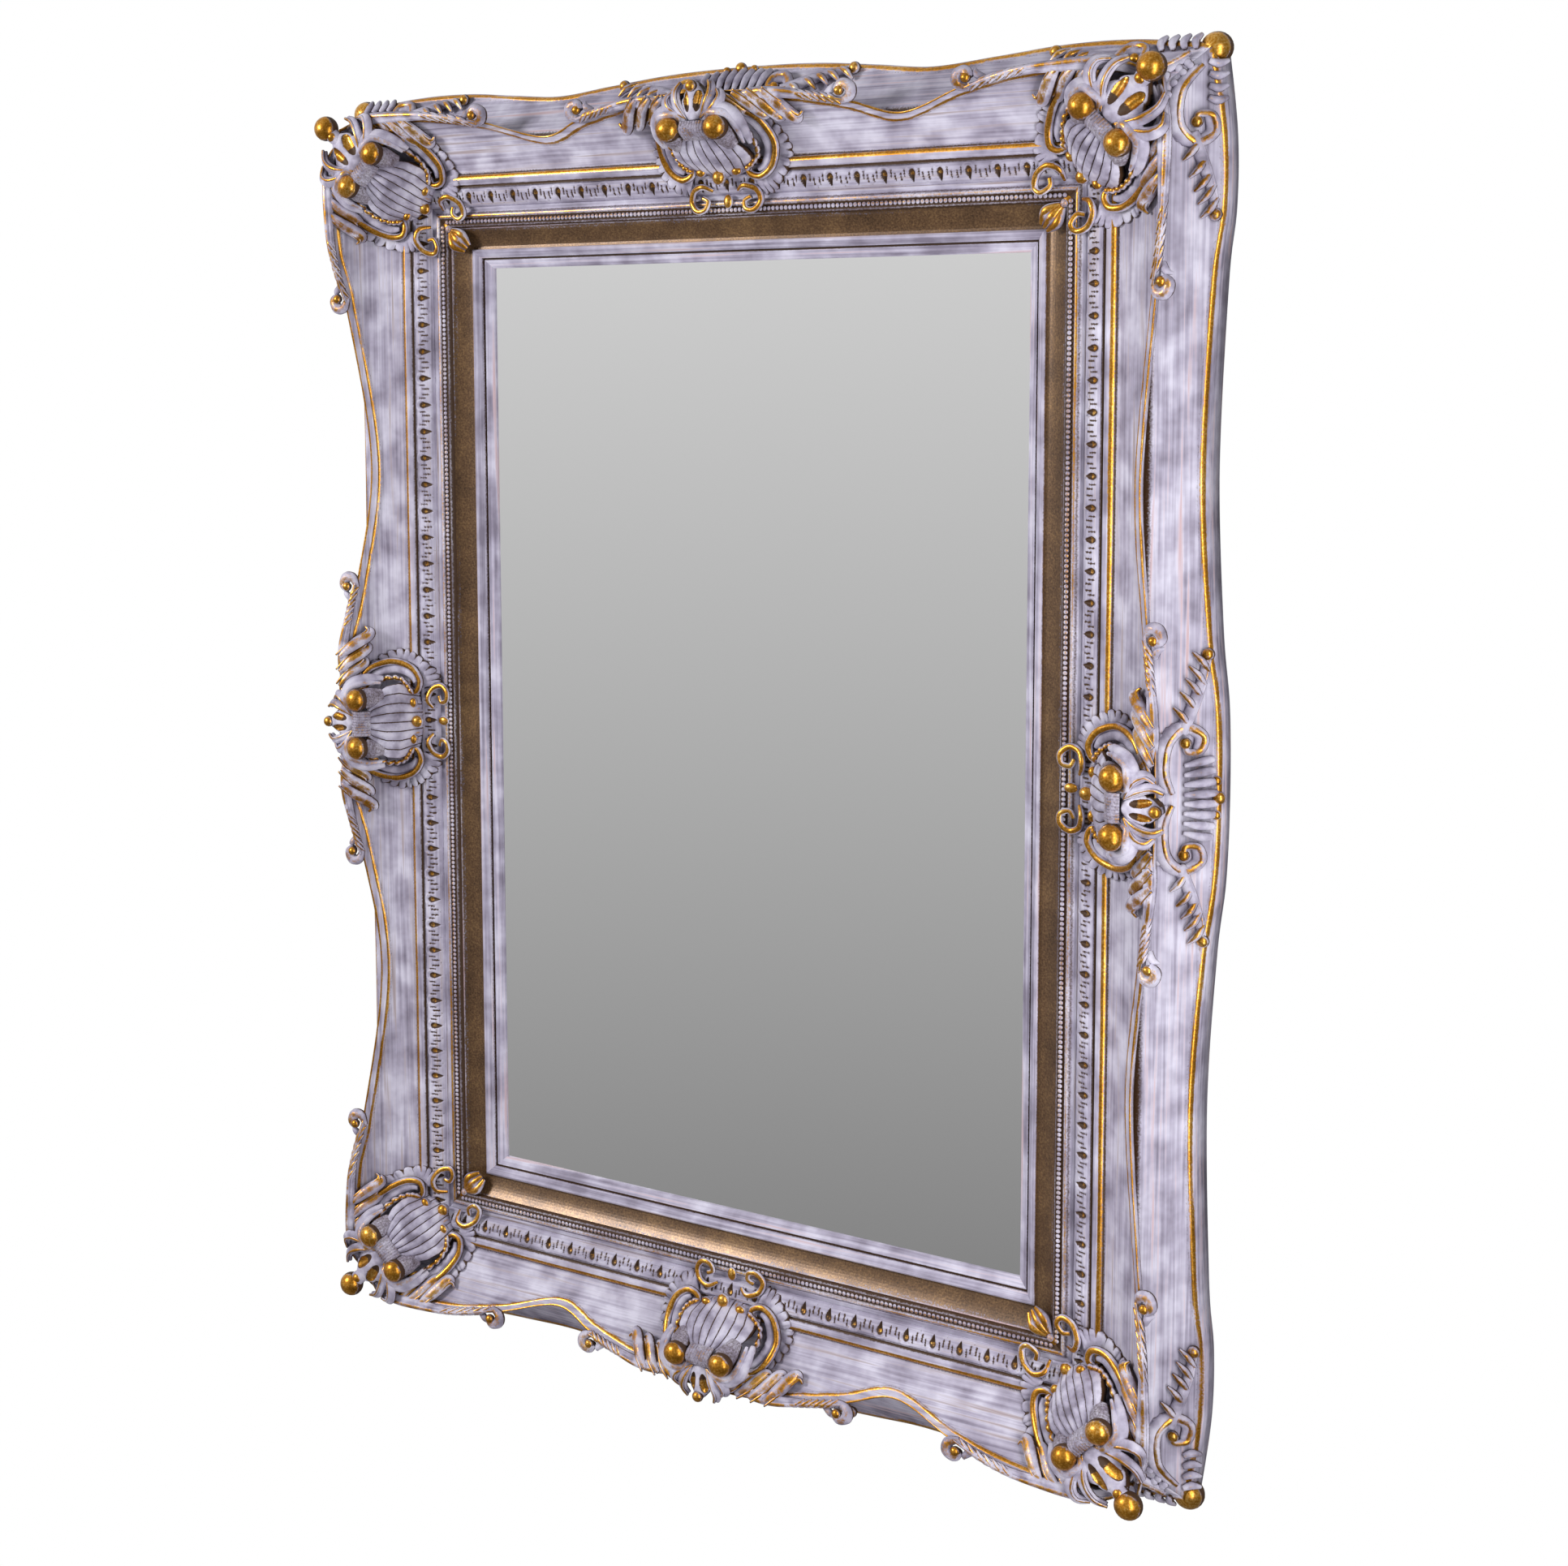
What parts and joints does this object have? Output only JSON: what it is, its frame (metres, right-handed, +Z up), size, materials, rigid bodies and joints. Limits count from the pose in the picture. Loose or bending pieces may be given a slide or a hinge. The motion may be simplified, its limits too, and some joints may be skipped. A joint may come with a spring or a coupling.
{
  "type": "wall mirror",
  "caption": "Tall rectangular wall mirror in a deep swept rococo frame, washed pale over gilding, with carved shell ornaments at its corners and centres.",
  "frame": {"origin": "centre of the back plane, on the rear face of the backing board", "axes": "+X to the right seen from the front, +Y to the wall (the glass faces -Y), +Z up"},
  "size_m": [1.526, 0.2072, 2.086],
  "materials": {
    "washed_gesso": "lavender-white wash over gesso, brushed, gilt on the ridges",
    "gilt_gesso": "lavender-white wash with burnished gold ridges and brown recesses",
    "bronze_gilt": "dark bronze gilding",
    "pine": "bare pine",
    "board": "hardboard",
    "mirror": "silvered glass",
    "zinc_steel": "zinc plated",
    "rubber": "black rubber"
  },
  "bodies": {
    "frame": {"front_rail_top": "washed_gesso", "side_rail_top": "washed_gesso", "egg_strip_top": "washed_gesso", "slip_top": "bronze_gilt", "carcass_top": "pine", "glass_stop_top": "pine", "centre_ornament_top": "gilt_gesso", "rear_centre_ornament_top": "gilt_gesso", "front_rail_bottom": "washed_gesso", "side_rail_bottom": "washed_gesso", "egg_strip_bottom": "washed_gesso", "slip_bottom": "bronze_gilt", "carcass_bottom": "pine", "glass_stop_bottom": "pine", "centre_ornament_bottom": "gilt_gesso", "rear_centre_ornament_bottom": "gilt_gesso", "front_rail_left": "washed_gesso", "side_rail_left": "washed_gesso", "egg_strip_left": "washed_gesso", "slip_left": "bronze_gilt", "carcass_left": "pine", "glass_stop_left": "pine", "centre_ornament_left": "gilt_gesso", "rear_centre_ornament_left": "gilt_gesso", "front_rail_right": "washed_gesso", "side_rail_right": "washed_gesso", "egg_strip_right": "washed_gesso", "slip_right": "bronze_gilt", "carcass_right": "pine", "glass_stop_right": "pine", "centre_ornament_right": "gilt_gesso", "rear_centre_ornament_right": "gilt_gesso", "corner_ornament_top_left": "gilt_gesso", "rear_corner_ornament_top_left": "gilt_gesso", "corner_plate_top_left": "zinc_steel", "corner_ornament_top_right": "gilt_gesso", "rear_corner_ornament_top_right": "gilt_gesso", "corner_plate_top_right": "zinc_steel", "corner_ornament_bottom_left": "gilt_gesso", "rear_corner_ornament_bottom_left": "gilt_gesso", "corner_plate_bottom_left": "zinc_steel", "corner_ornament_bottom_right": "gilt_gesso", "rear_corner_ornament_bottom_right": "gilt_gesso", "corner_plate_bottom_right": "zinc_steel", "mirror_glass": "mirror", "backing_board": "board", "board_screws": "zinc_steel", "plate_screws": "zinc_steel", "strap_screws": "zinc_steel", "hanger_strap_left": "zinc_steel", "hanger_strap_right": "zinc_steel", "wall_bumpers": "rubber"},
    "ring_left": {"hanger_ring_left": "zinc_steel"},
    "ring_right": {"hanger_ring_right": "zinc_steel"}
  },
  "joints": [
    {"name": "ring_left_swing", "type": "hinge", "parent": "frame", "child": "ring_left", "pos_m": [-0.675, 0.0046, 0.48], "axis": [1, 0, 0], "range_deg": [0, 178]},
    {"name": "ring_right_swing", "type": "hinge", "parent": "frame", "child": "ring_right", "pos_m": [0.675, 0.0046, 0.48], "axis": [1, 0, 0], "range_deg": [0, 178]}
  ]
}
